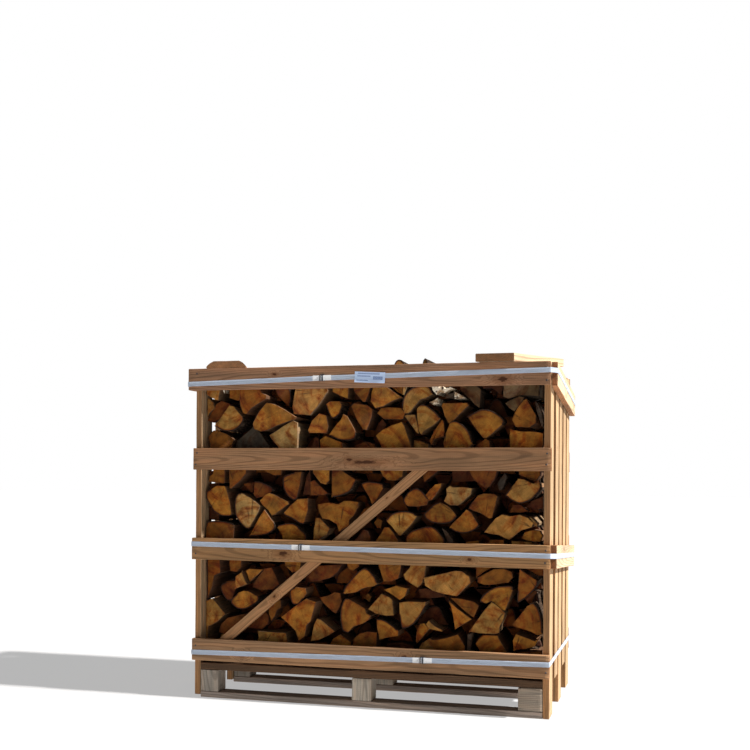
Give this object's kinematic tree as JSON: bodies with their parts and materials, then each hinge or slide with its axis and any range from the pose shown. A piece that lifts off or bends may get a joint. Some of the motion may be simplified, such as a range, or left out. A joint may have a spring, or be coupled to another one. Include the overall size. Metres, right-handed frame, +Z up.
{
  "type": "firewood bundle",
  "caption": "Split firewood stacked in a slatted softwood crate on a low block pallet, closed with woven straps and wire buckles.",
  "frame": {"origin": "on the floor, under the middle of the whole box", "axes": "+X to the right along the front rails, +Y from the strapped and labelled front to the back, +Z up"},
  "size_m": [1.2432, 0.6668, 1.1428],
  "materials": {
    "rail_wood": "rough-sawn pine, weathered to grey brown",
    "wall_wood": "rough-sawn pine, paler and yellower",
    "pallet_wood": "damp grey weathered pine",
    "log_wood": "split and saw-cut hardwood with bark",
    "offcut_wood": "rough-sawn offcuts, one with waney edges",
    "strap_weave": "woven polyester strap, off-white with a blue cast",
    "buckle_wire": "dark phosphated wire",
    "label_paper": null
  },
  "bodies": {
    "root": {"rail_front_d": "rail_wood", "rail_front_c": "rail_wood", "rail_front_b": "rail_wood", "rail_front_a": "rail_wood", "rail_back_d": "rail_wood", "rail_back_c": "rail_wood", "rail_back_b": "rail_wood", "rail_back_a": "rail_wood", "brace_front": "rail_wood", "brace_back": "rail_wood", "side_board_right_1": "wall_wood", "side_board_right_2": "wall_wood", "side_board_right_3": "wall_wood", "side_board_right_4": "wall_wood", "side_board_right_5": "wall_wood", "side_board_left_1": "wall_wood", "side_board_left_2": "wall_wood", "side_board_left_3": "wall_wood", "side_board_left_4": "wall_wood", "side_board_left_5": "wall_wood", "side_rail_right_top": "wall_wood", "side_rail_right_middle": "wall_wood", "side_rail_left_top": "wall_wood", "side_rail_left_middle": "wall_wood", "skid_front": "pallet_wood", "block_front_left": "pallet_wood", "block_front_centre": "pallet_wood", "block_front_right": "pallet_wood", "stringer_front": "pallet_wood", "skid_middle": "pallet_wood", "block_middle_left": "pallet_wood", "block_middle_centre": "pallet_wood", "block_middle_right": "pallet_wood", "stringer_middle": "pallet_wood", "skid_back": "pallet_wood", "block_back_left": "pallet_wood", "block_back_centre": "pallet_wood", "block_back_right": "pallet_wood", "stringer_back": "pallet_wood", "deck_board_1": "pallet_wood", "deck_board_2": "pallet_wood", "deck_board_3": "pallet_wood", "deck_board_4": "pallet_wood", "deck_board_5": "pallet_wood", "deck_board_6": "pallet_wood", "deck_board_7": "pallet_wood", "log_stack_front": "log_wood", "log_stack_back": "log_wood", "offcut_slab_left": "offcut_wood", "offcut_plank_right": "offcut_wood", "strap_top": "strap_weave", "strap_middle": "strap_weave", "strap_bottom": "strap_weave", "buckle_top": "buckle_wire", "buckle_middle": "buckle_wire", "buckle_bottom": "buckle_wire", "label": "label_paper"}
  },
  "joints": []
}
